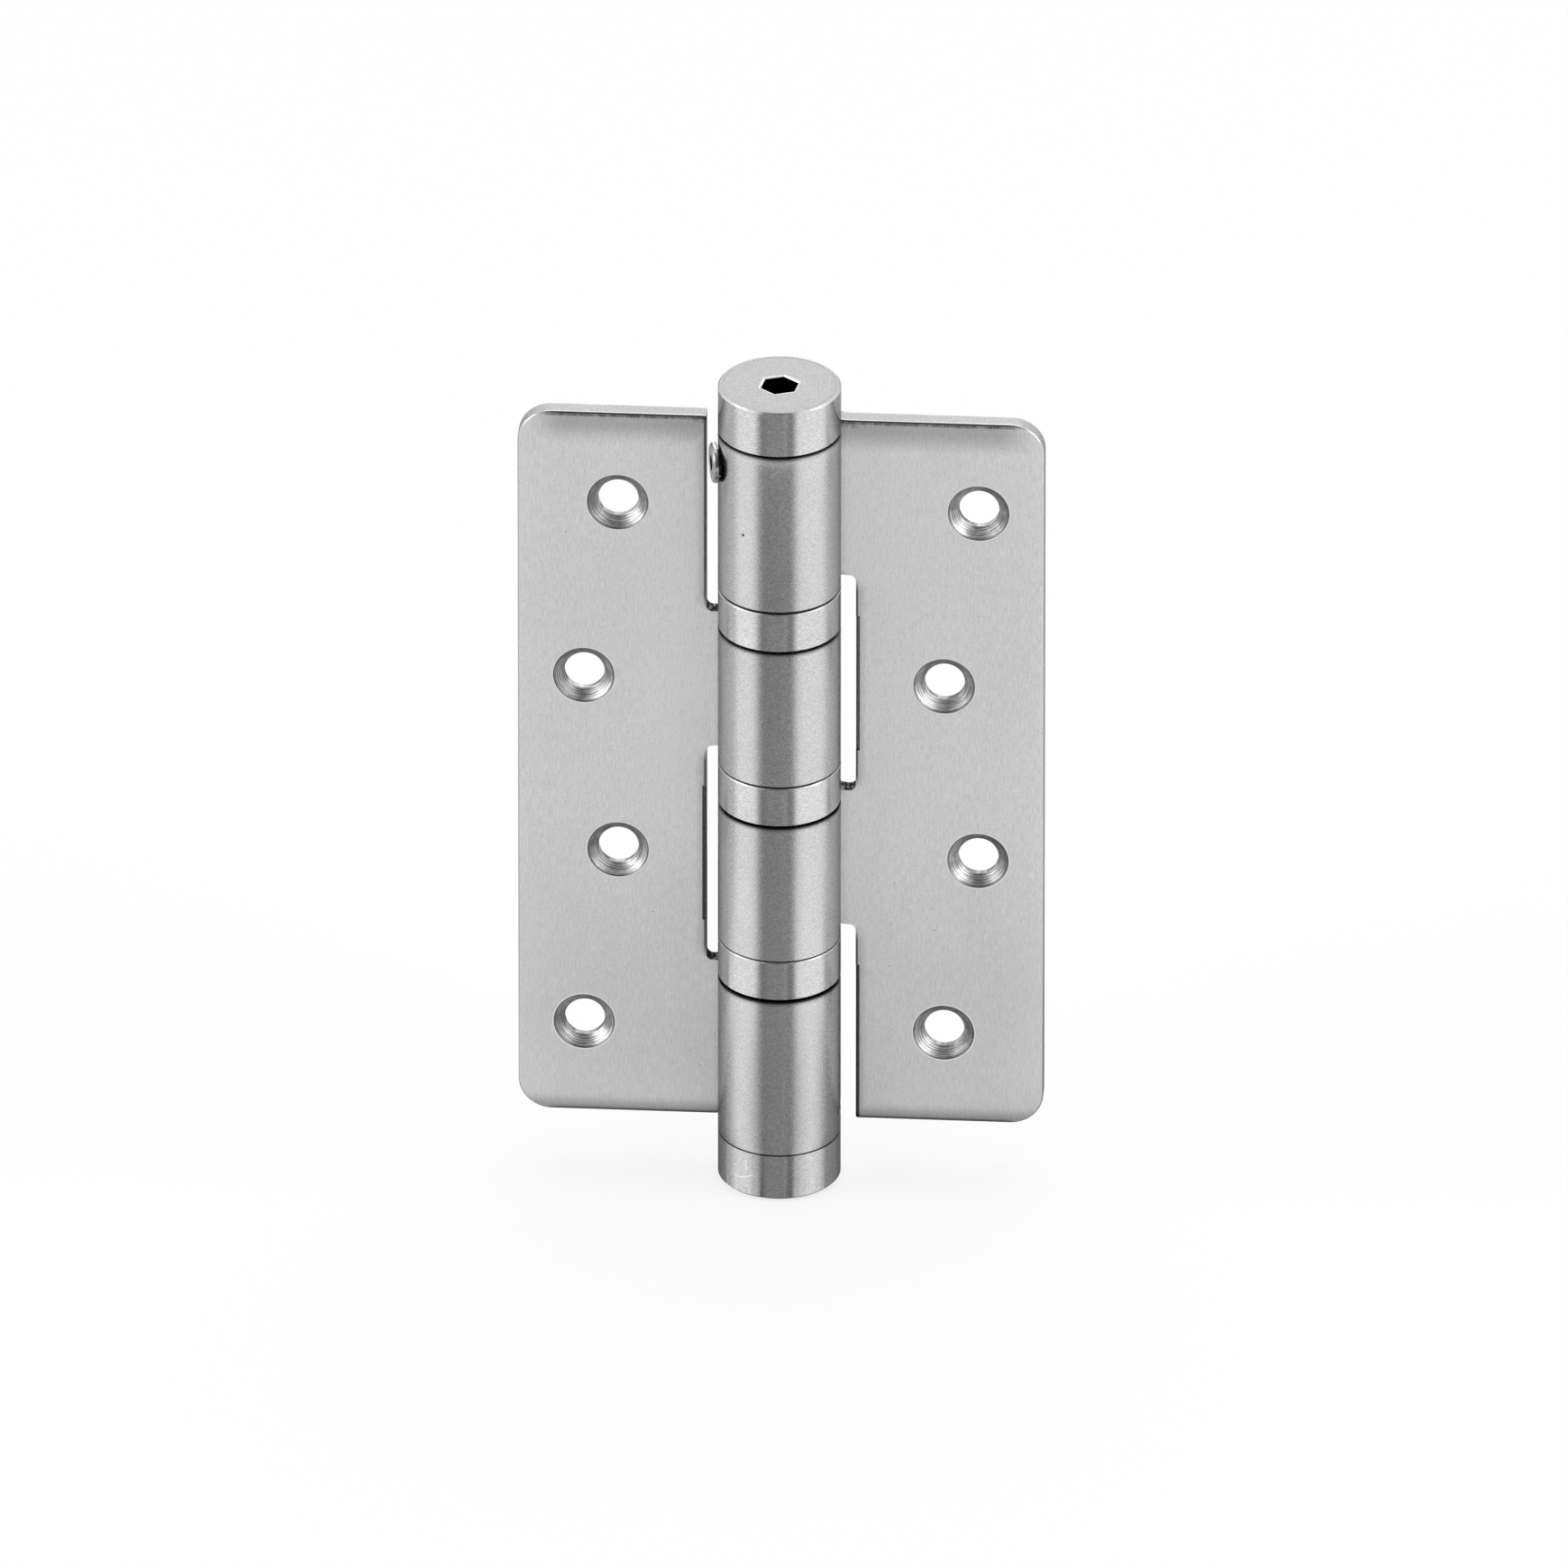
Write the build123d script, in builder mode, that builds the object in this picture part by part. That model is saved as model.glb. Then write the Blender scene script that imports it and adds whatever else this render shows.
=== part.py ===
"""Spring hinge, opened flat: two rolled sheet leaves on ball bearings, with the closing spring in the barrel.

The barrel's axis is Z, with the origin at its mid-height. The door leaf runs to +X and the frame leaf
to -X. The countersunk faces look to -Y, and the leaves lie behind the axis, at +Y.
"""

from build123d import *
import os
from math import acos, atan2, cos, degrees, hypot, radians, sin

os.makedirs("parts", exist_ok=True)

# Leaves
sheet = 3.0
barrel_d = 22.0
end_knuckle = 31.4
inner_knuckle = 27.3
bearing_height = 8.2
leaf_reach = 47.1
leaf_front_y = 4.2
leaf_corner_r = 6.0
leaf_edge_r = 0.4
window_margin = 2.4
window_corner_r = 1.2
neck_margin = 0.5
neck_bend_r = 2.0
seam_gap = 0.05
relief_bevel = 0.7
frame_end_bevel = 0.25

# Screw holes, four to a leaf in two staggered rows
screw_hole_d = 7.2
screw_head_d = 11.0
countersink_angle = 90.0
screw_pitch = 35.3
near_row_x = 29.2
far_row_x = 35.3

# Ball bearings between the knuckles
ball_d = 2.7
ball_count = 12
ball_sides = 8
upper_race_wall = 1.33
lower_race_wall = 0.7
race_collar = 5.0
flange_margin = 1.5
ring_play = 0.6
ring_lifts = {"upper": 0.25, "middle": 0.35, "lower": 0.45}
ring_chamfer = 0.2

# Caps and their plugs
cap_height = 8.7
cap_chamfer = 0.3
top_cap_gap = 0.35
bottom_cap_gap = 0.05
plug_length = 15.0
hex_across = 6.1
hex_depth = 7.5
hex_turn = 20.0
hex_chamfer = 0.2

# Stop pin, and the travel that its slot leaves it
stop_pin_d = 4.8
stop_pin_drop = 5.8
stop_pin_inner_r = 2.0
stop_head_d = 7.3
stop_head_thick = 1.0
stop_head_chamfer = 0.3
stop_head_gap = 0.3
stop_dimple_d = 2.6
stop_dimple_depth = 0.5
stop_pin_angle = 192.0
cap_travel = 12.0

# Pin that locks the bottom plug
lock_pin_d = 3.2
lock_pin_rise = 4.9
lock_pin_recess = 1.4
lock_pin_end_r = 6.5

# Torsion spring of flat wire, and its guide rod
wire_radial = 2.0
wire_axial = 3.4
spring_turns = 12
spring_runs_per_turn = 12
spring_end_gap = 1.0
tang_width = 2.4
tang_seat = 3.8
guide_play = 0.6
guide_seat = 4.0
guide_chamfer = 0.5

# Clearances
running = 0.05
press = 0.02
slot_clearance = 0.25
tang_clearance = 0.15
seat_gap = 0.3
cut_over = 2.0

# Sizes that follow
barrel_r = barrel_d / 2
bore_r = barrel_r - sheet
neck_bend_x = barrel_r + neck_margin
window_x = barrel_r + window_margin
leaf_back_y = leaf_front_y + sheet
leaf_height = 2 * end_knuckle + 2 * inner_knuckle + 3 * bearing_height
half_height = leaf_height / 2
window_top = half_height - end_knuckle
window_bottom = window_top - 2 * bearing_height - inner_knuckle
slot_top = window_bottom - inner_knuckle
outer_bearing_z = window_top - bearing_height / 2
bearing_levels = {"upper": outer_bearing_z, "middle": 0.0, "lower": -outer_bearing_z}
stop_pin_z = half_height - stop_pin_drop
lock_pin_z = lock_pin_rise - half_height
plug_end = half_height - plug_length
spring_half = plug_end - spring_end_gap
spigot_r = bore_r - press - upper_race_wall - running
race_bore_r = spigot_r - lower_race_wall
wire_mean_r = race_bore_r - seat_gap - wire_radial / 2
guide_d = 2 * (wire_mean_r - guide_play) - wire_radial
ring_height = bearing_height - ring_play
flange_r = barrel_r - flange_margin
ball_circle_r = (spigot_r + flange_r) / 2
race_gap = ball_d + 2 * running
knuckle_face = bearing_height / 2
track_face = race_gap / 2
collar_end = knuckle_face + race_collar

door_side = Plane.XY
frame_side = Plane(origin=(0, 0, 0), x_dir=(-1, 0, 0), z_dir=(0, 0, -1))


def round_axis(radius, angle):
    """Point at a radius and an angle round the barrel's axis."""
    return (radius * cos(radians(angle)), radius * sin(radians(angle)))


def radial_plane(angle, level):
    """Plane at the axis that faces out of the barrel at an angle and a height."""
    return Plane(
        origin=(0, 0, level),
        x_dir=(*round_axis(1, angle + 90), 0),
        z_dir=(*round_axis(1, angle), 0),
    )


def half_plane(angle, level):
    """Plane through the axis, with its X pointing out of the barrel at an angle."""
    return Plane(
        origin=(0, 0, level),
        x_dir=(*round_axis(1, angle), 0),
        z_dir=(*round_axis(1, angle - 90), 0),
    )


def neck_corner(radius, touch_angle, face_y):
    """Point where a straight side of the neck, tangent to the roll, meets a face of the plate."""
    x, y = round_axis(radius, touch_angle)
    run = (y - face_y) / cos(radians(touch_angle))
    return (x + run * sin(radians(touch_angle)), face_y)


def leaf_section():
    """Section of a leaf: the plate, the neck that bends back, and the roll round the bore."""
    plate_mid_y = leaf_front_y + sheet / 2
    roll_mid_r = barrel_r - sheet / 2
    bend_distance = hypot(neck_bend_x, plate_mid_y)
    touch_angle = degrees(atan2(plate_mid_y, neck_bend_x) + acos(roll_mid_r / bend_distance))
    seam_opening = degrees(acos((bore_r - seam_gap) / barrel_r))
    roll_size = 360 - seam_opening
    front_bend = neck_corner(bore_r, touch_angle, leaf_front_y)
    back_bend = neck_corner(barrel_r, touch_angle, leaf_back_y)
    front_end = (leaf_reach, leaf_front_y)
    back_end = (leaf_reach, leaf_back_y)
    with BuildLine() as outline:
        outside = CenterArc((0, 0), barrel_r, touch_angle, roll_size)
        inside = CenterArc((0, 0), bore_r, touch_angle - seam_opening, -roll_size)
        Line(outside @ 1, inside @ 0)
        FilletPolyline(inside @ 1, front_bend, front_end, radius=neck_bend_r + sheet)
        Line(front_end, back_end)
        FilletPolyline(back_end, back_bend, outside @ 0, radius=neck_bend_r)
    make_face(outline.edges())


def relief_section(bevel):
    """Section cut from the front edge of a plate's inner side, sloping at 45 degrees."""
    with BuildLine() as outline:
        Polyline(
            (window_x - cut_over, leaf_front_y + bevel + cut_over),
            (window_x + bevel + cut_over, leaf_front_y - cut_over),
            (window_x - cut_over, leaf_front_y - cut_over),
            close=True,
        )
    make_face(outline.edges())


def plate_outline():
    """Outline of a leaf from the front, past the barrel on its inner side."""
    width = leaf_reach + barrel_d
    with Locations((leaf_reach - width / 2, 0)):
        RectangleRounded(width, leaf_height, leaf_corner_r)


def window_outline(low, high):
    """Cut-out beside the other leaf's knuckle, with its corners rounded at the plate."""
    width = window_x + barrel_d
    with Locations((window_x - width / 2, (low + high) / 2)):
        RectangleRounded(width, high - low, window_corner_r)


def rolled_leaf(side, end_bevel):
    """One leaf with its two knuckles, on its own side of the barrel."""
    front = Plane(origin=(0, 0, 0), x_dir=side.x_dir, z_dir=-side.y_dir)
    plate_front = front.offset(-leaf_front_y)
    screw_points = (
        (far_row_x, 1.5 * screw_pitch),
        (near_row_x, 0.5 * screw_pitch),
        (far_row_x, -0.5 * screw_pitch),
        (near_row_x, -1.5 * screw_pitch),
    )
    other_knuckles = (
        (window_bottom + bearing_height, inner_knuckle, relief_bevel),
        (-half_height, end_knuckle, end_bevel),
    )
    with BuildPart() as leaf:
        with BuildSketch(side.offset(-half_height)):
            leaf_section()
        extrude(amount=leaf_height)
        with BuildSketch(front):
            plate_outline()
        extrude(amount=barrel_d, both=True, mode=Mode.INTERSECT)
        with BuildSketch(front):
            window_outline(window_bottom, window_top)
            window_outline(-half_height - barrel_d, slot_top)
        extrude(amount=barrel_d, both=True, mode=Mode.SUBTRACT)
        for low, length, bevel in other_knuckles:
            with BuildSketch(side.offset(low)):
                relief_section(bevel)
            extrude(amount=length, mode=Mode.SUBTRACT)
        front_edges = leaf.edges().filter_by_position(Axis.Y, leaf_front_y - press, leaf_front_y + press)
        reach = Axis((0, 0, 0), side.x_dir)
        fillet(front_edges.filter_by_position(reach, window_x + cut_over, leaf_reach + press), leaf_edge_r)
        with Locations(*[plate_front.location * Pos(x, z) for x, z in screw_points]):
            CounterSinkHole(screw_hole_d / 2, screw_head_d / 2, sheet, countersink_angle)
    return leaf.part


def plugged_cap(end, gap, plug_r):
    """Turned cap on one end of the barrel, with the plug that holds the spring's tang and the guide."""
    with BuildPart() as cap:
        with BuildSketch(end.offset(half_height + gap)):
            Circle(barrel_r)
        extrude(amount=cap_height)
        chamfer(cap.faces().sort_by(Axis((0, 0, 0), end.z_dir))[-1].edges(), cap_chamfer)
        with BuildSketch(end.offset(plug_end)):
            Circle(plug_r)
        extrude(amount=half_height + gap - plug_end)
        with BuildSketch(end.offset(plug_end)):
            Circle(guide_d / 2 + running)
        extrude(amount=guide_seat + seat_gap, mode=Mode.SUBTRACT)
        with BuildSketch(end.offset(plug_end)):
            with Locations((end.x_dir.X * wire_mean_r, 0)):
                Rectangle(wire_radial + 2 * tang_clearance, tang_width + 2 * tang_clearance)
        extrude(amount=tang_seat + seat_gap, mode=Mode.SUBTRACT)
    return cap.part


def faceted_ball():
    """Bearing ball with eighteen flat faces, where three eight-sided bars cross."""
    with BuildPart() as ball:
        bars = ((Plane.XY, Mode.ADD), (Plane.YZ, Mode.INTERSECT), (Plane.ZX, Mode.INTERSECT))
        for bar, mode in bars:
            with BuildSketch(bar):
                RegularPolygon(ball_d / 2, ball_sides, rotation=180 / ball_sides)
            extrude(amount=ball_d, both=True, mode=mode)
    return ball.part


# Door leaf, with the slot that the stop pin travels in
with BuildPart() as door_leaf:
    add(rolled_leaf(door_side, relief_bevel))
    slot_d = stop_pin_d + 2 * slot_clearance
    slot_start = stop_pin_angle - cap_travel
    for slot_end in (slot_start, stop_pin_angle):
        with BuildSketch(radial_plane(slot_end, stop_pin_z)):
            Circle(slot_d / 2)
        extrude(amount=barrel_r + cut_over, mode=Mode.SUBTRACT)
    with BuildSketch(half_plane(slot_start, stop_pin_z)):
        with Locations((barrel_r - sheet / 2, 0)):
            Rectangle(sheet + cut_over, slot_d)
    revolve(axis=Axis.Z, revolution_arc=cap_travel, mode=Mode.SUBTRACT)
door_leaf.part.label = "door_leaf"
export_step(door_leaf.part, "parts/door_leaf.step")

# Frame leaf, with the hole of the lock pin
with BuildPart() as frame_leaf:
    add(rolled_leaf(frame_side, frame_end_bevel))
    with BuildSketch(radial_plane(0, lock_pin_z)):
        Circle(lock_pin_d / 2 + press)
    extrude(amount=barrel_r + cut_over, mode=Mode.SUBTRACT)
frame_leaf.part.label = "frame_leaf"
export_step(frame_leaf.part, "parts/frame_leaf.step")

# Tension cap, with its hex socket and the crossed holes for the stop pin
with BuildPart() as tension_cap:
    add(plugged_cap(door_side, top_cap_gap, bore_r - running))
    with BuildSketch(Plane.XY.offset(half_height + top_cap_gap + cap_height)):
        RegularPolygon(hex_across / 2, 6, major_radius=False, rotation=hex_turn)
    extrude(amount=-hex_depth, mode=Mode.SUBTRACT)
    cap_face = tension_cap.faces().sort_by(Axis.Z)[-1]
    chamfer(cap_face.inner_wires()[0].edges(), hex_chamfer)
    for hole_angle in (stop_pin_angle, stop_pin_angle + 90):
        with BuildSketch(radial_plane(hole_angle, stop_pin_z)):
            Circle(stop_pin_d / 2 + running)
        extrude(amount=bore_r + running, both=True, mode=Mode.SUBTRACT)
tension_cap.part.label = "tension_cap"
export_step(tension_cap.part, "parts/tension_cap.step")

# Bottom cap, with the hole of the lock pin
with BuildPart() as bottom_cap:
    add(plugged_cap(frame_side, bottom_cap_gap, bore_r - press))
    with BuildSketch(radial_plane(0, lock_pin_z).offset(-lock_pin_end_r - seat_gap)):
        Circle(lock_pin_d / 2 + press)
    extrude(amount=lock_pin_end_r + seat_gap + barrel_r, mode=Mode.SUBTRACT)
bottom_cap.part.label = "bottom_cap"
export_step(bottom_cap.part, "parts/bottom_cap.step")

# Stop pin, with a dimple in its head
with BuildPart() as stop_pin:
    head_start = barrel_r + stop_head_gap
    stop_axis = radial_plane(stop_pin_angle, stop_pin_z)
    with BuildSketch(stop_axis.offset(stop_pin_inner_r)):
        Circle(stop_pin_d / 2)
    extrude(amount=head_start - stop_pin_inner_r)
    with BuildSketch(stop_axis.offset(head_start)):
        Circle(stop_head_d / 2)
    extrude(amount=stop_head_thick)
    head_face = stop_pin.faces().sort_by(Axis((0, 0, 0), stop_axis.z_dir))[-1]
    chamfer(head_face.edges(), stop_head_chamfer)
    with BuildSketch(stop_axis.offset(head_start + stop_head_thick)):
        Circle(stop_dimple_d / 2)
    extrude(amount=-stop_dimple_depth, mode=Mode.SUBTRACT)
stop_pin.part.label = "stop_pin"
export_step(stop_pin.part, "parts/stop_pin.step")

# Lock pin, driven below the barrel's surface
with BuildPart() as bottom_lock_pin:
    with BuildSketch(radial_plane(0, lock_pin_z).offset(-lock_pin_end_r)):
        Circle(lock_pin_d / 2)
    extrude(amount=lock_pin_end_r + barrel_r - lock_pin_recess)
bottom_lock_pin.part.label = "bottom_lock_pin"
export_step(bottom_lock_pin.part, "parts/bottom_lock_pin.step")

# Three ball bearings, each of a ring, two races and a set of balls
for place, level in bearing_levels.items():
    with BuildPart() as ring:
        with BuildSketch(Plane.XY.offset(level - knuckle_face + ring_lifts[place])):
            Circle(barrel_r)
            Circle(flange_r + running, mode=Mode.SUBTRACT)
        extrude(amount=ring_height)
        ring_ends = ring.faces().sort_by(Axis.Z)
        for end_face in (ring_ends[0], ring_ends[-1]):
            chamfer(end_face.outer_wire().edges(), ring_chamfer)
    ring.part.label = f"{place}_bearing_ring"
    export_step(ring.part, f"parts/{place}_bearing_ring.step")

    with BuildPart() as lower_race:
        with BuildSketch(half_plane(0, level)):
            with BuildLine():
                Polyline(
                    (race_bore_r, -collar_end),
                    (bore_r - press, -collar_end),
                    (bore_r - press, -knuckle_face),
                    (flange_r, -knuckle_face),
                    (flange_r, -track_face),
                    (spigot_r, -track_face),
                    (spigot_r, collar_end - seat_gap),
                    (race_bore_r, collar_end - seat_gap),
                    close=True,
                )
            make_face()
        revolve(axis=Axis.Z)
    lower_race.part.label = f"{place}_bearing_lower_race"
    export_step(lower_race.part, f"parts/{place}_bearing_lower_race.step")

    with BuildPart() as upper_race:
        with BuildSketch(half_plane(0, level)):
            with BuildLine():
                Polyline(
                    (spigot_r + running, track_face),
                    (flange_r, track_face),
                    (flange_r, knuckle_face),
                    (bore_r - press, knuckle_face),
                    (bore_r - press, collar_end),
                    (spigot_r + running, collar_end),
                    close=True,
                )
            make_face()
        revolve(axis=Axis.Z)
    upper_race.part.label = f"{place}_bearing_upper_race"
    export_step(upper_race.part, f"parts/{place}_bearing_upper_race.step")

    with BuildPart() as balls:
        with Locations((0, 0, level)):
            with PolarLocations(ball_circle_r, ball_count):
                add(faceted_ball())
    balls.part.label = f"{place}_bearing_balls"
    export_step(balls.part, f"parts/{place}_bearing_balls.step")

# Torsion spring, wound in short straight runs, with an axial tang at each end
with BuildPart() as torsion_spring:
    coil_half = spring_half - wire_axial / 2
    run_count = spring_turns * spring_runs_per_turn
    for run in range(run_count + 1):
        coil_z = coil_half * (2 * run / run_count - 1)
        with BuildSketch(half_plane(360 * run / spring_runs_per_turn, coil_z)):
            with Locations((wire_mean_r, 0)):
                Rectangle(wire_radial, wire_axial)
    loft(ruled=True)
    for end in (1, -1):
        with BuildSketch(Plane.XY.offset(end * coil_half)):
            with Locations((wire_mean_r, 0)):
                Rectangle(wire_radial, tang_width)
        extrude(amount=end * (wire_axial / 2 + spring_end_gap + tang_seat))
torsion_spring.part.label = "torsion_spring"
export_step(torsion_spring.part, "parts/torsion_spring.step")

# Rod that keeps the spring straight
with BuildPart() as spring_guide:
    with BuildSketch(Plane.XY.offset(-plug_end - guide_seat)):
        Circle(guide_d / 2)
    extrude(amount=2 * (plug_end + guide_seat))
    chamfer(spring_guide.edges().filter_by(GeomType.CIRCLE), guide_chamfer)
spring_guide.part.label = "spring_guide"
export_step(spring_guide.part, "parts/spring_guide.step")
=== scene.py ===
"""Looks of the spring hinge: brushed stainless steel in a plain light studio."""

import math

import bpy
from mathutils import Matrix, Vector


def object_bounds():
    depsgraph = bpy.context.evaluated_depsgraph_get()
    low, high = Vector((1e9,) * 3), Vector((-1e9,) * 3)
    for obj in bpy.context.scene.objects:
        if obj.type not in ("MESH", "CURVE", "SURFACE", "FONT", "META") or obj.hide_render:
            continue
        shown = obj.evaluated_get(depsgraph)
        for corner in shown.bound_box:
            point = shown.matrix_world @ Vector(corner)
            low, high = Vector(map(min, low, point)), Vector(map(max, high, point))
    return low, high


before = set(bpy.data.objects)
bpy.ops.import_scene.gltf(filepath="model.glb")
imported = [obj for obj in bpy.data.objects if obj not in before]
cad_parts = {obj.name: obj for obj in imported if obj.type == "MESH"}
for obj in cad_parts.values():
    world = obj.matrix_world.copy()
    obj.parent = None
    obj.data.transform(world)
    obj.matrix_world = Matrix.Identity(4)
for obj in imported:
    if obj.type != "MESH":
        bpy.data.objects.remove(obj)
cad_low, cad_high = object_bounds()

MM = 0.001

# Sizes of the hinge, as in the part's source
BARREL_R = 11.0 * MM
LEAF_FRONT_Y = 4.2 * MM
LEAF_REACH = 47.1 * MM
LEAF_CORNER_R = 6.0 * MM
HALF_HEIGHT = 71.0 * MM
SCREW_HEAD_R = 5.5 * MM
SCREW_PITCH = 35.3 * MM
NEAR_ROW_X = 29.2 * MM
FAR_ROW_X = 35.3 * MM
CAP_TOP_Z = 80.05 * MM
HEX_ACROSS = 6.1 * MM
HEX_TURN = 50.0
HEX_CHAMFER = 0.2 * MM
WINDOW_X = 13.4 * MM
WINDOW_TOP = 39.6 * MM
WINDOW_BOTTOM = -4.1 * MM
SLOT_TOP = -31.4 * MM
PIN_ANGLE = 192.0
PIN_Z = 65.2 * MM
PIN_HEAD_START = 11.3 * MM

# Upper and lower ends of the knuckles. The frame leaf is the door leaf turned end for end.
DOOR_ENDS = ((HALF_HEIGHT, WINDOW_BOTTOM), (WINDOW_TOP, SLOT_TOP))
FRAME_ENDS = ((-SLOT_TOP, -WINDOW_TOP), (-WINDOW_BOTTOM, -HALF_HEIGHT))

# Sizes of marks drawn by colour alone: a dot, a step on the cap, and painted shade in the hex well, in the
# pin's dimple, round the pin's ring and beside the windows
DOT_PLACE = (-5.9 * MM, -9.29 * MM, 54.4 * MM)
DOT_R = 0.28 * MM
HEX_WELL_R = 3.75 * MM
CAP_STEP_R = 10.15 * MM
PIN_DIMPLE_R = 1.45 * MM
PIN_RING_R = 3.5 * MM
WINDOW_FADE = 3.5 * MM

# Light scratches on the bottom cap, each from one (mm round the barrel, mm of height) to the next
SCRATCHES = (
    ((-9.0, -76.0), (-7.9, -76.6)),
    ((-7.9, -76.6), (-6.9, -76.5)),
    ((-6.9, -76.5), (-4.3, -75.5)),
    ((-5.6, -72.6), (-5.6, -74.6)),
)

# Spacing of the tool marks, and depth and width of the rounding along the leaves' edges
SINK_RING_PITCH = 0.33 * MM
END_RING_PITCH = 0.55 * MM
ROLLOVER_DEPTH = 0.36 * MM
ROLLOVER_WIDTH = 1.5 * MM

# Camera, at the photograph's viewing angle
AZIMUTH = 3.77
ELEVATION = 28.65
ROLL = 0.02
FRAME_PX = 1740
PX_PER_MM = 6.2111
CENTRE_PX = (864.9, 864.7)
LENS_MM = 1500.0
SENSOR_MM = 36.0

# Stage: floor, flags and light
FLOOR_HALF = 12.0
FLOOR_DROP = 0.4 * MM
FLAG_LIFT = 0.1 * MM
FLAG_REACH = 0.11
FLOOR_GREY = 0.96
FLOOR_GLOW = 0.75
WORLD_GREY = 0.6


class Channel:
    """One output socket, with Math nodes behind the operators."""

    def __init__(self, nodes, socket):
        self.nodes = nodes
        self.socket = socket

    def _math(self, operation, *values):
        return self.nodes.node("ShaderNodeMath", {"operation": operation}, dict(enumerate(values)))

    def __add__(self, other):
        return self._math("ADD", self, other)

    def __radd__(self, other):
        return self._math("ADD", other, self)

    def __sub__(self, other):
        return self._math("SUBTRACT", self, other)

    def __rsub__(self, other):
        return self._math("SUBTRACT", other, self)

    def __mul__(self, other):
        return self._math("MULTIPLY", self, other)

    def __rmul__(self, other):
        return self._math("MULTIPLY", other, self)

    def __pow__(self, other):
        return self._math("POWER", self, other)

    def __abs__(self):
        return self._math("ABSOLUTE", self)

    def __gt__(self, other):
        return self._math("GREATER_THAN", self, other)

    def __lt__(self, other):
        return self._math("LESS_THAN", self, other)

    def sine(self):
        return self._math("SINE", self)

    def exponent(self):
        return self._math("EXPONENT", self)

    def angle_to(self, other):
        """Angle whose tangent is this value over the other."""
        return self._math("ARCTAN2", self, other)

    def smallest(self, other):
        return self._math("MINIMUM", self, other)

    def largest(self, other):
        return self._math("MAXIMUM", self, other)

    def near(self, place, half_width):
        """1 within half a width of a place, 0 beyond it."""
        return abs(self - place) < half_width

    def between(self, start, end):
        """0 at start and 1 at end, smooth in between."""
        settings = {"interpolation_type": "SMOOTHSTEP"}
        values = {0: self, 1: start, 2: end, 3: 0.0, 4: 1.0}
        return self.nodes.node("ShaderNodeMapRange", settings, values)


class Nodes:
    """The node tree of one material or world."""

    def __init__(self, owner):
        owner.use_nodes = True
        self.owner = owner
        self.tree = owner.node_tree
        self.tree.nodes.clear()

    def node(self, kind, settings=None, values=None, output=0):
        """Adds a node, sets it up, and gives back one of its outputs, or a list for a tuple of them."""
        made = self.tree.nodes.new(kind)
        for name, value in (settings or {}).items():
            setattr(made, name, value)
        for socket, value in (values or {}).items():
            if isinstance(value, Channel):
                self.tree.links.new(value.socket, made.inputs[socket])
            else:
                made.inputs[socket].default_value = value
        if isinstance(output, tuple):
            return [Channel(self, made.outputs[each]) for each in output]
        return Channel(self, made.outputs[output])

    def seen(self):
        """1 for what is seen directly, in a reflection or through something, 0 for light on the hinge."""
        rays = ("Is Camera Ray", "Is Glossy Ray", "Is Transmission Ray")
        camera, glossy, transmission = self.node("ShaderNodeLightPath", output=rays)
        return (camera + glossy + transmission).smallest(1.0)

    def blended(self, factor, first, second):
        """Mix of two shaders."""
        return self.node("ShaderNodeMixShader", None, {0: factor, 1: first, 2: second})

    def finished(self, shader, kind="ShaderNodeOutputMaterial"):
        """Sends a shader to the output, and gives back the material or world."""
        self.node(kind, None, {"Surface": shader}, output=())
        return self.owner


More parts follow.
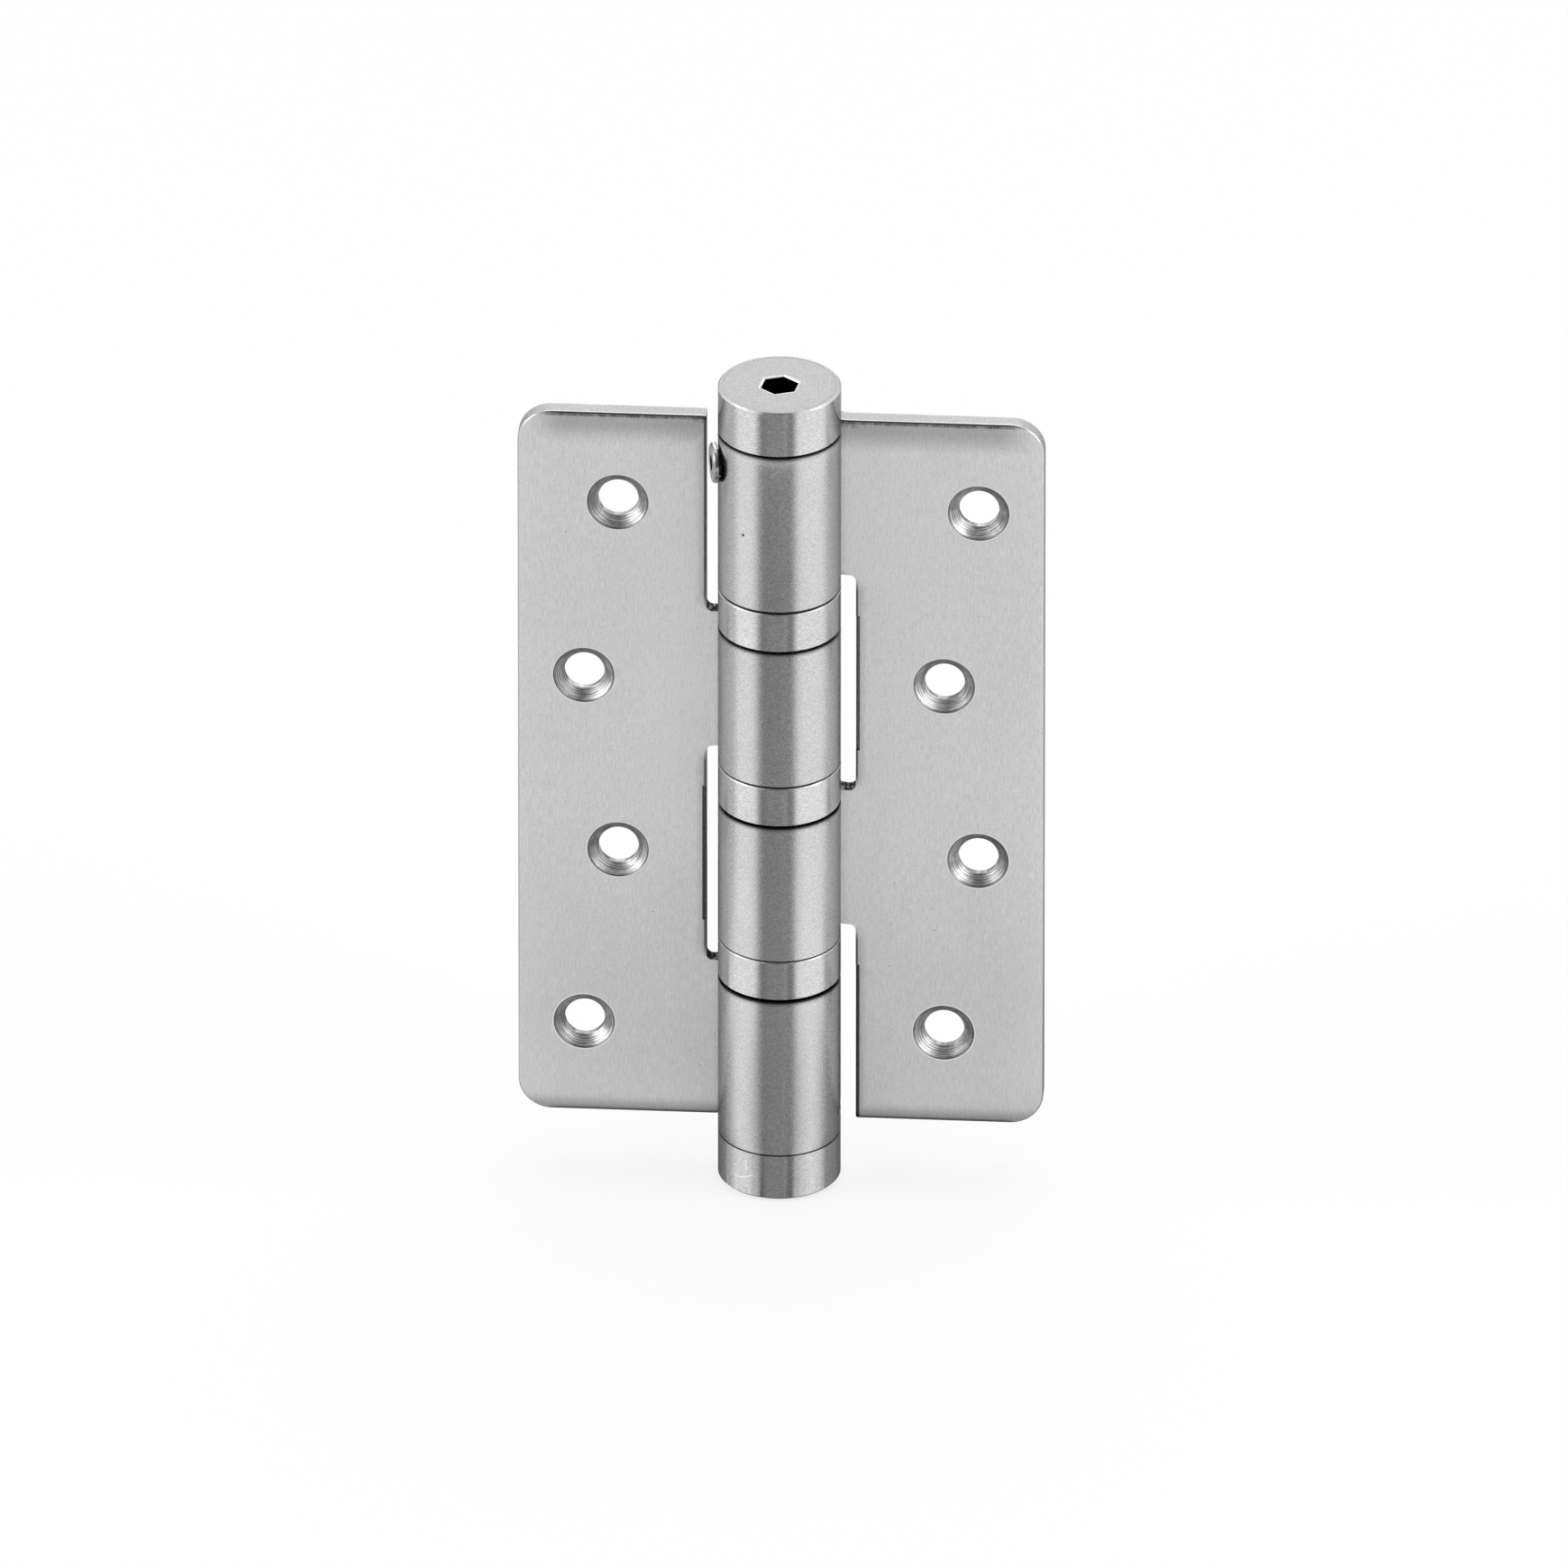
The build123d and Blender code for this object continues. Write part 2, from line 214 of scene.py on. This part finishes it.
class Finish(Nodes):
    """One procedural material, with its object-space place and surface direction at hand."""

    def __init__(self, name):
        super().__init__(bpy.data.materials.new(name))
        place, facing = self.node("ShaderNodeTexCoord", output=("Object", "Normal"))
        self.x, self.y, self.z = self.parts(place)
        self.nx, self.ny, self.nz = self.parts(facing)

    def parts(self, vector):
        """The three numbers of a vector."""
        return self.node("ShaderNodeSeparateXYZ", None, {0: vector}, output=(0, 1, 2))

    def joined(self, x, y, z):
        return self.node("ShaderNodeCombineXYZ", None, {0: x, 1: y, 2: z})

    def noise(self, stretch, detail=3.0, roughness=0.55, shift=0.0, at=None):
        """Noise with its own number of cells per metre along X, Y and Z."""
        base = at or (self.x, self.y, self.z)
        vector = self.joined(*(c * s + shift for c, s in zip(base, stretch)))
        values = {"Vector": vector, "Scale": 1.0, "Detail": detail, "Roughness": roughness}
        return self.node("ShaderNodeTexNoise", {"noise_dimensions": "3D"}, values)

    def flecks(self, cells, size, share, shift):
        """Mask of small spots, in a share of the cells."""
        vector = self.joined(*(c * cells + shift for c in (self.x, self.y, self.z)))
        settings = {"feature": "F1", "voronoi_dimensions": "3D"}
        values = {"Vector": vector, "Scale": 1.0}
        near, colour = self.node("ShaderNodeTexVoronoi", settings, values, output=("Distance", "Color"))
        return (near < size * cells) * (self.parts(colour)[0] < share)

    def mixed(self, factor, first, second):
        """Mix of two colours."""
        settings = {"data_type": "RGBA", "clamp_factor": True}
        return self.node("ShaderNodeMix", settings, {0: factor, 6: first, 7: second}, output=2)

    def chosen(self, factor, first, second):
        """Mix of two numbers."""
        return self.node("ShaderNodeMix", {"data_type": "FLOAT"}, {0: factor, 2: first, 3: second})

    def tone(self, level, spread, *layers):
        """Colour that noise layers make a little lighter and darker about a grey level."""
        amount = 0.5
        for layer, weight in layers:
            amount = (layer - 0.5) * weight + amount
        return self.mixed(amount, grey(level * (1 - spread)), grey(level * (1 + spread)))

    def bump(self, height, strength, distance, below=None):
        values = {"Height": height, "Strength": strength, "Distance": distance}
        if below:
            values["Normal"] = below
        return self.node("ShaderNodeBump", None, values)

    def steel(self, colour, roughness, normal, anisotropy, turn=0.0, metallic=1.0, edge=1.0):
        """Metal shader. Its plain numbers are the same all over."""
        values = {
            "Base Color": colour,
            "Metallic": metallic,
            "Specular Tint": grey(edge),
            "Roughness": roughness,
            "Anisotropic": anisotropy,
            "Anisotropic Rotation": turn,
            "Normal": normal,
        }
        return self.node("ShaderNodeBsdfPrincipled", None, values)


def grey(level):
    return (level, level, level, 1.0)


# Colours that are laid over the steel's own grey
# Painted shade on the plates
SHADOW = grey(0.02)
# Painted shade in bores, wells, on inner faces and under the bottom cap's rim; also dark scuffed patches on
# the stop pin
DEEP_SHADE_AND_DIRT = grey(0.03)
# Painted shade at the knuckle ends; also real dark specks and a dot on the leaves
DIRT_AND_SHADE = grey(0.05)
GROOVE = grey(0.1)
GLINT = grey(0.95)
# Painted highlight round the countersinks and on the hex chamfer
PAINTED_HIGHLIGHT = grey(0.97)


def screw_heads(f, x, z):
    """The countersinks: their mask, the distance from their middle, the painted highlight line outside
    each, and the dark line inside.
    """
    heads = (
        (FAR_ROW_X, 1.5 * SCREW_PITCH),
        (NEAR_ROW_X, 0.5 * SCREW_PITCH),
        (FAR_ROW_X, -0.5 * SCREW_PITCH),
        (NEAR_ROW_X, -1.5 * SCREW_PITCH),
    )
    sink = 0.0
    from_middle = 0.0
    rim = 0.0
    head_edge = 0.0
    for head_x, head_z in heads:
        distance = ((x - head_x) ** 2 + (z - head_z) ** 2) ** 0.5
        inside = distance < (SCREW_HEAD_R + 0.1 * MM)
        sink = inside + sink
        from_middle = inside * distance + from_middle
        rim = distance.near(SCREW_HEAD_R + 0.12 * MM, 0.14 * MM) + rim
        head_edge = distance.near(SCREW_HEAD_R - 0.12 * MM, 0.1 * MM) + head_edge
    return sink, from_middle, rim, head_edge


def knuckle_end_shade(f, tops, bottoms):
    """Painted shade at the ends of the knuckles: dark lines at the gaps between the parts, and a soft shade
    below each upper end.
    """
    shade = 0.0
    for top in tops:
        shade = f.z.between(top - 1.4 * MM, top - 0.1 * MM) * (f.z < top + 0.01 * MM) + shade
    edge_line = 0.0
    for end in tops + bottoms:
        edge_line = f.z.near(end, 0.27 * MM) + edge_line
    return shade * shade * 0.7 + edge_line * 0.97


def plate_shade(f, x, z, patchy):
    """Painted shade on the front of a plate: soft at its top and bottom, beside its gaps, and by the barrel
    and its inner corner.
    """
    below_top = HALF_HEIGHT - f.z
    above_bottom = HALF_HEIGHT + f.z
    shade = (1 - below_top.between(1.8 * MM, 7.0 * MM)) * 0.40
    shade = shade * x.between(LEAF_REACH, LEAF_REACH - 9.0 * MM)
    shade = shade.largest((1 - above_bottom.between(0.4 * MM, 3.4 * MM)) * 0.42)

    from_inside = x - WINDOW_X
    beside_window = z.between(WINDOW_BOTTOM, WINDOW_BOTTOM + WINDOW_FADE)
    beside_window = beside_window * (1 - z.between(WINDOW_TOP - WINDOW_FADE, WINDOW_TOP))
    gap_side = beside_window.largest(1 - z.between(SLOT_TOP - WINDOW_FADE, SLOT_TOP))
    shade = shade.largest((1 - from_inside.between(0.0, 2.4 * MM)) * gap_side * 0.3)
    shade = shade.largest((from_inside < 0.4 * MM) * gap_side * 0.85)

    # Painted shade by the barrel, darkest in the inner corner
    inner_end = 1 - x.between(15.0 * MM, 32.0 * MM)
    corner_shade = inner_end * (1 - below_top.between(0.6 * MM, 3.6 * MM)) * patchy * 0.5
    corner = (1 - x.between(14.5 * MM, 19.0 * MM)) * (1 - below_top.between(0.8 * MM, 3.4 * MM))
    corner_shade = corner_shade.largest(corner * (patchy * 0.45 + 0.3))
    return shade.largest(corner_shade * (below_top > 0.0))


def edge_shade(f, x, patchy):
    """Painted shade: dark lines along the rounded upper edge of a plate, just below it, and along the
    bottom edge.
    """
    below_top = HALF_HEIGHT - f.z
    above_bottom = HALF_HEIGHT + f.z
    top_roll = f.nz.between(0.1, 0.3) * (1 - f.nz.between(0.8, 0.95))
    shade = top_roll.largest((1 - above_bottom.between(0.3 * MM, 1.3 * MM)) * 0.88)
    under_edge = 1 - below_top.between(0.55 * MM, 1.35 * MM)
    under_edge = under_edge * (below_top > 0.3 * MM) * (f.nz < 0.3)
    shade = shade.largest(under_edge * (patchy * 0.35 + 0.65))
    return shade * (1 - x.between(LEAF_REACH - 7.5 * MM, LEAF_REACH - 2.0 * MM))


def leaf_finish(name, side, knuckle_tops, knuckle_bottoms):
    """Sheet leaf: brushed upright on the plate, grained on the roll, torn at the sheared edges."""
    f = Finish(name)

    # The leaf's own frame, in which both leaves are alike
    x = f.x * side
    z = f.z * side

    # Grain
    fine = f.noise((6400, 6400, 520), detail=2.0)
    broad = f.noise((2400, 2400, 50), detail=2.0, shift=7.0)
    even = f.noise((6000, 6000, 4200), detail=2.0, roughness=0.7, shift=41.0)
    grain = f.noise((3600, 3600, 4200), detail=3.0, roughness=0.7, shift=3.0)
    speckle = f.noise((9000, 9000, 9000), detail=1.0, shift=29.0)
    cloud = f.noise((70, 70, 40), detail=3.0, shift=11.0)
    shear = f.noise((4200, 900, 4200), detail=3.0, shift=17.0)
    torn = f.noise((1500, 500, 1500), detail=4.0, roughness=0.7, shift=13.0)
    patchy = f.noise((1300, 1300, 700), detail=4.0, roughness=0.75, shift=53.0).between(0.3, 0.7)

    # Where each kind of surface lies
    on_plate = abs(f.ny) > 0.93
    barrel_distance = (x * x + f.y * f.y) ** 0.5
    off_barrel = barrel_distance.between(BARREL_R + 0.03 * MM, BARREL_R + 0.5 * MM)
    plate = on_plate * off_barrel
    level_face = abs(f.nz) > 0.7
    rolled = (1 - off_barrel) * (1 - level_face)
    inside_bore = (1 - off_barrel) * (barrel_distance < (BARREL_R - 0.3 * MM))
    cut = (1 - on_plate) * off_barrel
    torn_place = (abs(z) < 70.8 * MM) * (x < WINDOW_X + 1.5 * MM)
    torn_face = cut.largest(level_face * (x > 9.5 * MM)) * torn_place
    bevel = torn_place * (abs(f.nx) > 0.3) * (abs(f.ny) > 0.3) * off_barrel
    front = (f.ny < 0) * (f.y < LEAF_FRONT_Y + 1.0 * MM) * off_barrel

    # Countersinks, with the turning marks of the cutter
    sink, from_middle, rim, head_edge = screw_heads(f, x, z)
    sink = sink * (1 - on_plate)
    rim = rim * on_plate * (f.ny < 0)
    wobble = f.noise((500, 500, 500), detail=2.0, shift=5.0) * 0.2 * MM
    round_middle = (from_middle + wobble, x, z)
    turning = f.noise((4300, 150, 150), detail=3.0, roughness=0.8, shift=9.0, at=round_middle)
    turning = (from_middle * (math.tau / SINK_RING_PITCH) + turning * 14.0).sine() * 0.5 + 0.5
    chatter = f.noise((330, 330, 330), shift=19.0).between(0.36, 0.62)
    turned_tone = f.mixed(turning, grey(0.28), grey(0.92))
    turned_tone = f.mixed((chatter * 0.4).largest(head_edge * 0.85), turned_tone, GROOVE)

    # Colour of each kind of surface
    plate_tone = f.tone(0.95, 0.17, (fine, 1.5), (even, 1.9), (broad, 0.3), (cloud, 0.25))
    # Painted shade: the plate darker towards the bottom and towards its far edge
    low_part = (0.0 - f.z).between(0.0, HALF_HEIGHT)
    far_part = x.between(18.0 * MM, 40.0 * MM)
    plate_tone = f.mixed(low_part * 0.25 + far_part * 0.11, plate_tone, grey(0.35))
    roll_tone = f.tone(0.67, 0.25, (grain, 3.0), (speckle, 1.4), (cloud, 0.4))
    shear_tone = f.tone(0.60, 0.2, (shear, 1.8))
    torn_tone = f.mixed(torn.between(0.45, 0.68), grey(0.02), grey(0.3))
    # Painted shade on the bevels beside the windows
    bevel_tone = f.tone(0.2, 0.5, (torn, 1.5))

    # Marks on top: painted shade at the knuckle ends and on the plate, and specks, scuffs and a dot
    knuckle_shade = knuckle_end_shade(f, knuckle_tops, knuckle_bottoms) * rolled
    painted_shade = plate_shade(f, x, z, patchy) * plate
    painted_shade = painted_shade.largest(edge_shade(f, x, patchy) * front * 0.93)
    specks = f.flecks(260.0, 0.12 * MM, 0.3, 31.0) * (1 - cut)
    scuffs = f.flecks(700.0, 0.12 * MM, 0.05, 47.0) * rolled
    dot_x, dot_y, dot_z = DOT_PLACE
    dot_off = ((f.x - dot_x) ** 2 + (f.y - dot_y) ** 2 + (f.z - dot_z) ** 2) ** 0.5

    colour = f.mixed(rolled, plate_tone, roll_tone)
    # Painted shade at the knuckle ends
    colour = f.mixed(knuckle_shade, colour, DIRT_AND_SHADE)
    colour = f.mixed(scuffs * 0.6, colour, GLINT)
    # Painted shade inside the bore
    colour = f.mixed(inside_bore, colour, DEEP_SHADE_AND_DIRT)
    colour = f.mixed(cut, colour, shear_tone)
    colour = f.mixed(torn_face, colour, torn_tone)
    colour = f.mixed(bevel, colour, bevel_tone)
    # Painted shade on the plate's face and edges
    colour = f.mixed(painted_shade, colour, SHADOW)
    colour = f.mixed(sink, colour, turned_tone)
    # Painted highlight round the rim of each countersink
    colour = f.mixed(rim, colour, PAINTED_HIGHLIGHT)
    colour = f.mixed((specks * 0.8).largest(dot_off < DOT_R), colour, DIRT_AND_SHADE)

    # Bump, with the rounding that shearing leaves along the edge of the plate below it
    height = f.chosen(rolled, fine * 0.4 + broad * 0.2, grain * 1.9 + speckle * 1.1)
    height = f.chosen(torn_face, height, torn * 4.0)
    height = f.chosen(sink, height, turning * 0.8)
    corner_x = (x - (LEAF_REACH - LEAF_CORNER_R)).largest(0.0)
    corner_z = (abs(z) - (HALF_HEIGHT - LEAF_CORNER_R)).largest(0.0)
    inward = LEAF_CORNER_R - (corner_x * corner_x + corner_z * corner_z) ** 0.5
    rollover = (inward * (-1.0 / ROLLOVER_WIDTH)).exponent()
    drawn = f.bump(rollover * -1.0, 1.0, ROLLOVER_DEPTH)
    normal = f.bump(height, 0.6, 0.012 * MM, below=drawn)

    plate_rough = 0.58 + (broad - 0.5) * 0.10
    roll_rough = 0.25 + (grain - 0.5) * 0.2 + cut * 0.1 + sink * 0.05
    plate_steel = f.steel(colour, plate_rough, normal, 0.9, metallic=0.55)
    roll_steel = f.steel(colour, roll_rough, normal, 0.2, edge=0.4)
    return f.finished(f.blended(plate, roll_steel, plate_steel))


def scratched(f, lines):
    """Mask of fine scratches round the barrel."""
    across = f.x.angle_to(0.0 - f.y) * BARREL_R
    scratch = 0.0
    for line in lines:
        (start_u, start_v), (end_u, end_v) = [(u * MM, v * MM) for u, v in line]
        length = math.hypot(end_u - start_u, end_v - start_v)
        along_u = (end_u - start_u) / length
        along_v = (end_v - start_v) / length
        du = across - start_u
        dv = f.z - start_v
        run = (du * along_u + dv * along_v).largest(0.0).smallest(length)
        off = ((du - run * along_u) ** 2 + (dv - run * along_v) ** 2) ** 0.5
        scratch = off.between(0.22 * MM, 0.05 * MM).largest(scratch)
    return scratch


def turned_finish(name, level=0.70, rough=0.23, inner=0.03, socket=False, marks=()):
    """Turned steel, brushed round the axis, with rings on its flat ends and painted shade on its inner
    faces.
    """
    f = Finish(name)
    radius = (f.x * f.x + f.y * f.y) ** 0.5
    flat = abs(f.nz).between(0.6, 0.9)
    round_lines = f.noise((1300, 1300, 7500), detail=3.0, roughness=0.7)
    wander = f.noise((300, 300, 300)) * 0.3 * MM
    spiral = ((radius + wander) * (math.tau / END_RING_PITCH)).sine()
    grain = f.noise((4800, 4800, 4800), detail=2.0, roughness=0.7, shift=3.0)
    cloud = f.noise((90, 90, 60), shift=5.0)
    side_tone = f.tone(level, 0.32, (round_lines, 2.0), (grain, 1.3), (cloud, 0.4))
    end_tone = f.tone(level * 0.77, 0.27, (grain, 2.8), (cloud, 0.45), (spiral * 0.5 + 0.5, 0.08))
    # Painted shade on the inner faces
    shaded_inside = (radius < BARREL_R - 0.22 * MM) * (abs(f.z) < HALF_HEIGHT + 0.5 * MM)
    scuffs = f.flecks(700.0, 0.1 * MM, 0.05, 23.0) * (1 - flat)
    colour = f.mixed(flat, side_tone, end_tone)
    colour = f.mixed(shaded_inside, colour, grey(inner))
    colour = f.mixed(scuffs * 0.5, colour, GLINT)
    if marks:
        # Bottom cap: painted shade on the rounding below, light scratches on the side
        colour = f.mixed((f.nz < -0.3) * 0.8, colour, DEEP_SHADE_AND_DIRT)
        colour = f.mixed(scratched(f, marks) * (1 - flat) * 0.75, colour, GLINT)
    if socket:
        # Tension cap: painted shade in the well, a painted highlight on the chamfer round the hex, faint
        # step near the rim
        well = (radius < HEX_WELL_R) * (f.nz < 0.95) * (f.z > HALF_HEIGHT)
        colour = f.mixed(well * (1 - flat) + well * (f.z < CAP_TOP_Z - 1 * MM), colour, DEEP_SHADE_AND_DIRT)
        corner = 0.0
        for turn in range(3):
            angle = math.radians(HEX_TURN + 60.0 * turn)
            corner = abs(f.x * math.cos(angle) + f.y * math.sin(angle)).largest(corner)
        on_top = f.z > CAP_TOP_Z - 1.5 * HEX_CHAMFER
        chamfer_highlight = corner.near(HEX_ACROSS / 2 + HEX_CHAMFER / 2, 0.26 * MM) * on_top * (f.nz > 0.4)
        colour = f.mixed(chamfer_highlight, colour, PAINTED_HIGHLIGHT)
        turned_step = radius.near(CAP_STEP_R, 0.09 * MM) * flat * cloud.between(0.4, 0.6)
        colour = f.mixed(turned_step * 0.4, colour, grey(0.15))
    height = f.chosen(flat, round_lines * 0.6 + grain * 0.4, grain + spiral * 0.05)
    normal = f.bump(height, 0.5, 0.01 * MM)
    side = f.steel(colour, rough + (round_lines - 0.5) * 0.12, normal, 0.35, turn=0.25, edge=0.4)
    end = f.steel(colour, 0.42 + (grain - 0.5) * 0.1, normal, 0.0, edge=0.3)
    return f.finished(f.blended(flat, side, end))


def plain_finish(name, level, rough, stretch=(6000, 6000, 6000), spread=0.15, headed=False):
    """Small steel parts, with a fine grain. A headed pin has painted shade on its shank, in its dimple and
    round a ring, and dark scuffed patches.
    """
    f = Finish(name)
    grain = f.noise(stretch, detail=3.0)
    colour = f.tone(level, spread, (grain, 1.5), (f.noise((400, 400, 400), shift=4.0), 0.6))
    if headed:
        angle = math.radians(PIN_ANGLE)
        along = f.x * math.cos(angle) + f.y * math.sin(angle)
        across = f.y * math.cos(angle) - f.x * math.sin(angle)
        off_pin = (across * across + (f.z - PIN_Z) ** 2) ** 0.5
        # Painted shade on the shank, in the dimple and round the ring
        dark = (along < PIN_HEAD_START + 0.15 * MM).largest(off_pin < PIN_DIMPLE_R)
        dark = dark.largest(off_pin.near(PIN_RING_R, 0.14 * MM) * 0.6)
        scuffed = f.noise((1300, 1300, 1300), detail=4.0, roughness=0.75, shift=2.0).between(0.44, 0.58)
        colour = f.mixed(dark.largest(scuffed * 0.65), colour, DEEP_SHADE_AND_DIRT)
    normal = f.bump(grain, 0.4, 0.01 * MM)
    return f.finished(f.steel(colour, rough + (grain - 0.5) * 0.15, normal, 0.0))


turned = turned_finish("turned_steel")
races = turned_finish("race_steel", level=0.55, rough=0.22, inner=0.5)
balls = plain_finish("ball_steel", 0.72, 0.1, spread=0.04)
pins = plain_finish("pin_steel", 0.6, 0.3)
finishes = {
    "door_leaf": leaf_finish("door_leaf_steel", 1.0, *DOOR_ENDS),
    "frame_leaf": leaf_finish("frame_leaf_steel", -1.0, *FRAME_ENDS),
    "tension_cap": turned_finish("tension_cap_steel", socket=True),
    "bottom_cap": turned_finish("bottom_cap_steel", marks=SCRATCHES),
    "torsion_spring": plain_finish("spring_steel", 0.4, 0.35, stretch=(900, 900, 5000)),
    "stop_pin": plain_finish("stop_pin_steel", 0.8, 0.3, headed=True),
    "bottom_lock_pin": pins,
    "spring_guide": pins,
}
for node_name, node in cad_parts.items():
    if node_name in finishes:
        finish = finishes[node_name]
    elif node_name.endswith("_race"):
        finish = races
    elif node_name.endswith("_balls"):
        finish = balls
    else:
        finish = turned
    node.data.materials.clear()
    node.data.materials.append(finish)


def emission(name, level):
    """Even glow of one grey."""
    nodes = Nodes(bpy.data.materials.new(name))
    glow = nodes.node("ShaderNodeEmission", None, {"Color": grey(level), "Strength": 1.0})
    return nodes.finished(glow)


def slab(name, corners, material):
    """Flat stage piece."""
    mesh = bpy.data.meshes.new(name)
    mesh.from_pydata(corners, [], [tuple(range(len(corners)))])
    mesh.materials.append(material)
    made = bpy.data.objects.new(name, mesh)
    bpy.context.scene.collection.objects.link(made)
    return made


# Pale floor under the bottom cap, which keeps part of the shadow
floor_z = cad_low.z
pale = Nodes(bpy.data.materials.new("pale_floor"))
paint = pale.node("ShaderNodeBsdfDiffuse", None, {"Color": grey(FLOOR_GREY)})
glow = pale.node("ShaderNodeEmission", None, {"Color": grey(1.0), "Strength": 1.0})
floor_paint = pale.finished(pale.blended(pale.seen() * FLOOR_GLOW, paint, glow))
floor_signs = ((-1, -1), (1, -1), (1, 1), (-1, 1))
floor_corners = [(u * FLOOR_HALF, v * FLOOR_HALF, floor_z - FLOOR_DROP) for u, v in floor_signs]
slab("floor", floor_corners, floor_paint)


def toward(degrees, distance):
    """Point on the ground at an angle from straight in front."""
    angle = math.radians(degrees)
    return Vector((distance * math.sin(angle), -distance * math.cos(angle), floor_z + FLAG_LIFT))


def reflected(turn, far_turn, distance):
    """Point on the ground that the barrel reflects at an angle from the camera's side."""
    return toward(AZIMUTH + turn, BARREL_R) + toward(AZIMUTH + far_turn, distance) - toward(0, 0)


# Flags: grey pieces that only the steel reflects. They give the barrel its dark band and its dark edges.
# Each strip of ground has its two angles round the barrel, its grey, and how far out it reaches in metres.
strips = [
    (-33, -27, 0.88, 0.06),
    (-27, -22, 0.64, 0.06),
    (-22, -18.5, 0.5, 0.5),
    (-18.5, -15.5, 0.14, 0.5),
    (-15.5, -12.5, 0.2, 0.5),
    (-12.5, 5.5, 0.27, 0.5),
    (5.5, 9, 0.21, 0.5),
    (9, 12, 0.16, 0.5),
    (12, 14, 0.42, 0.5),
    (14, 19, 0.66, 0.06),
    (19, 25, 0.82, 0.06),
    (36, 42, 0.8, 0.06),
    (42, 47, 0.6, 0.06),
    (-52, -47, 0.7, 0.06),
    (-57, -52, 0.5, 0.06),
]
flags = []
for index, (first, last, level, reach) in enumerate(strips):
    stretch = 2.2 if 0 < first < 35 else 2.0
    strip = [reflected(first, 0, 0), reflected(first, first * stretch, reach)]
    strip += [reflected(last, last * stretch, reach), reflected(last, 0, 0)]
    flags.append(slab("flag_floor_%d" % index, strip, emission("flag_floor_%d" % index, level)))

# Ground behind the barrel, which its edges reflect, and painted shadow on the ground under the bottom cap,
# seen only in reflections
edge_turns = [47, 60, 75, 90, 120, 150, 180, 210, 240, 270, 285, 302]
edge_far = [94, 104, 118, 132, 150, 170, 190, 205, 220, 232, 238, 244]
behind = [reflected(turn, 0, 0) for turn in reversed(edge_turns)]
behind += [reflected(turn, far_turn, FLAG_REACH) for turn, far_turn in zip(edge_turns, edge_far)]
flags.append(slab("flag_behind", behind, emission("flag_mid", 0.3)))
under = [toward(angle, BARREL_R) for angle in range(0, 360, 15)]
flags.append(slab("flag_under", under, emission("flag_under", 0.03)))

# Ground at both sides, and an upright piece in front
for name, start, end in (("left", -84, -150), ("right", 98, 150)):
    sector = [toward(start, FLAG_REACH), toward(start, 0.6), toward((start + end) / 2, 0.6)]
    sector += [toward(end, 0.6), toward(end, FLAG_REACH)]
    flags.append(slab("flag_" + name, sector, emission("flag_light_" + name, 0.6)))
front_corners = [(-0.5, -0.75, floor_z), (0.5, -0.75, floor_z), (0.5, -0.4, 1.7), (-0.5, -0.4, 1.7)]
flags.append(slab("flag_front", front_corners, emission("flag_black", 0.12)))
for flag in flags:
    flag.visible_camera = False
    flag.visible_diffuse = False
    flag.visible_shadow = False
    flag.visible_transmission = False


def soft_lamp(name, place, size, power):
    """Square area lamp that points at the hinge's middle."""
    data = bpy.data.lights.new(name, "AREA")
    data.shape = "SQUARE"
    data.size = size
    data.energy = power
    lamp = bpy.data.objects.new(name, data)
    lamp.location = place
    lamp.rotation_mode = "QUATERNION"
    lamp.rotation_quaternion = (-Vector(place)).to_track_quat("-Z", "Y")
    bpy.context.scene.collection.objects.link(lamp)


soft_lamp("lamp_left", (-1.9, -0.6, 1.0), 1.3, 16)
soft_lamp("lamp_right", (1.9, -0.5, 1.0), 1.3, 16)
soft_lamp("lamp_top", (0.1, 1.0, 2.2), 1.8, 14)

# Grey light from all round, and white where the surroundings are seen
studio = Nodes(bpy.data.worlds.new("studio"))
lighting = studio.node("ShaderNodeBackground", None, {"Color": grey(WORLD_GREY)})
backdrop = studio.node("ShaderNodeBackground", None, {"Color": grey(1.0)})
surroundings = studio.blended(studio.seen(), lighting, backdrop)
bpy.context.scene.world = studio.finished(surroundings, "ShaderNodeOutputWorld")

# Camera on the photograph's line of sight
turn_angle = math.radians(AZIMUTH)
tilt_angle = math.radians(ELEVATION)
level_part = math.cos(tilt_angle)
back = Vector((math.sin(turn_angle) * level_part, -math.cos(turn_angle) * level_part, math.sin(tilt_angle)))
width_m = FRAME_PX / PX_PER_MM * MM
distance = width_m * LENS_MM / SENSOR_MM
looking = (-back).to_track_quat("-Z", "Y").to_matrix()
right, up = looking.col[0], looking.col[1]
off_x = (FRAME_PX / 2 - CENTRE_PX[0]) / PX_PER_MM * MM
off_y = (CENTRE_PX[1] - FRAME_PX / 2) / PX_PER_MM * MM
aim = right * off_x + up * off_y
camera_data = bpy.data.cameras.new("camera")
camera_data.lens = LENS_MM
camera_data.sensor_width = SENSOR_MM
camera_data.clip_start = 0.1
camera_data.clip_end = 100.0
camera = bpy.data.objects.new("camera", camera_data)
camera.location = aim + back * distance
camera.rotation_mode = "QUATERNION"
camera.rotation_quaternion = (looking @ Matrix.Rotation(math.radians(ROLL), 3, "Z")).to_quaternion()
bpy.context.scene.collection.objects.link(camera)
bpy.context.scene.camera = camera

bpy.context.scene.view_settings.view_transform = "Standard"

bpy.context.view_layer.update()
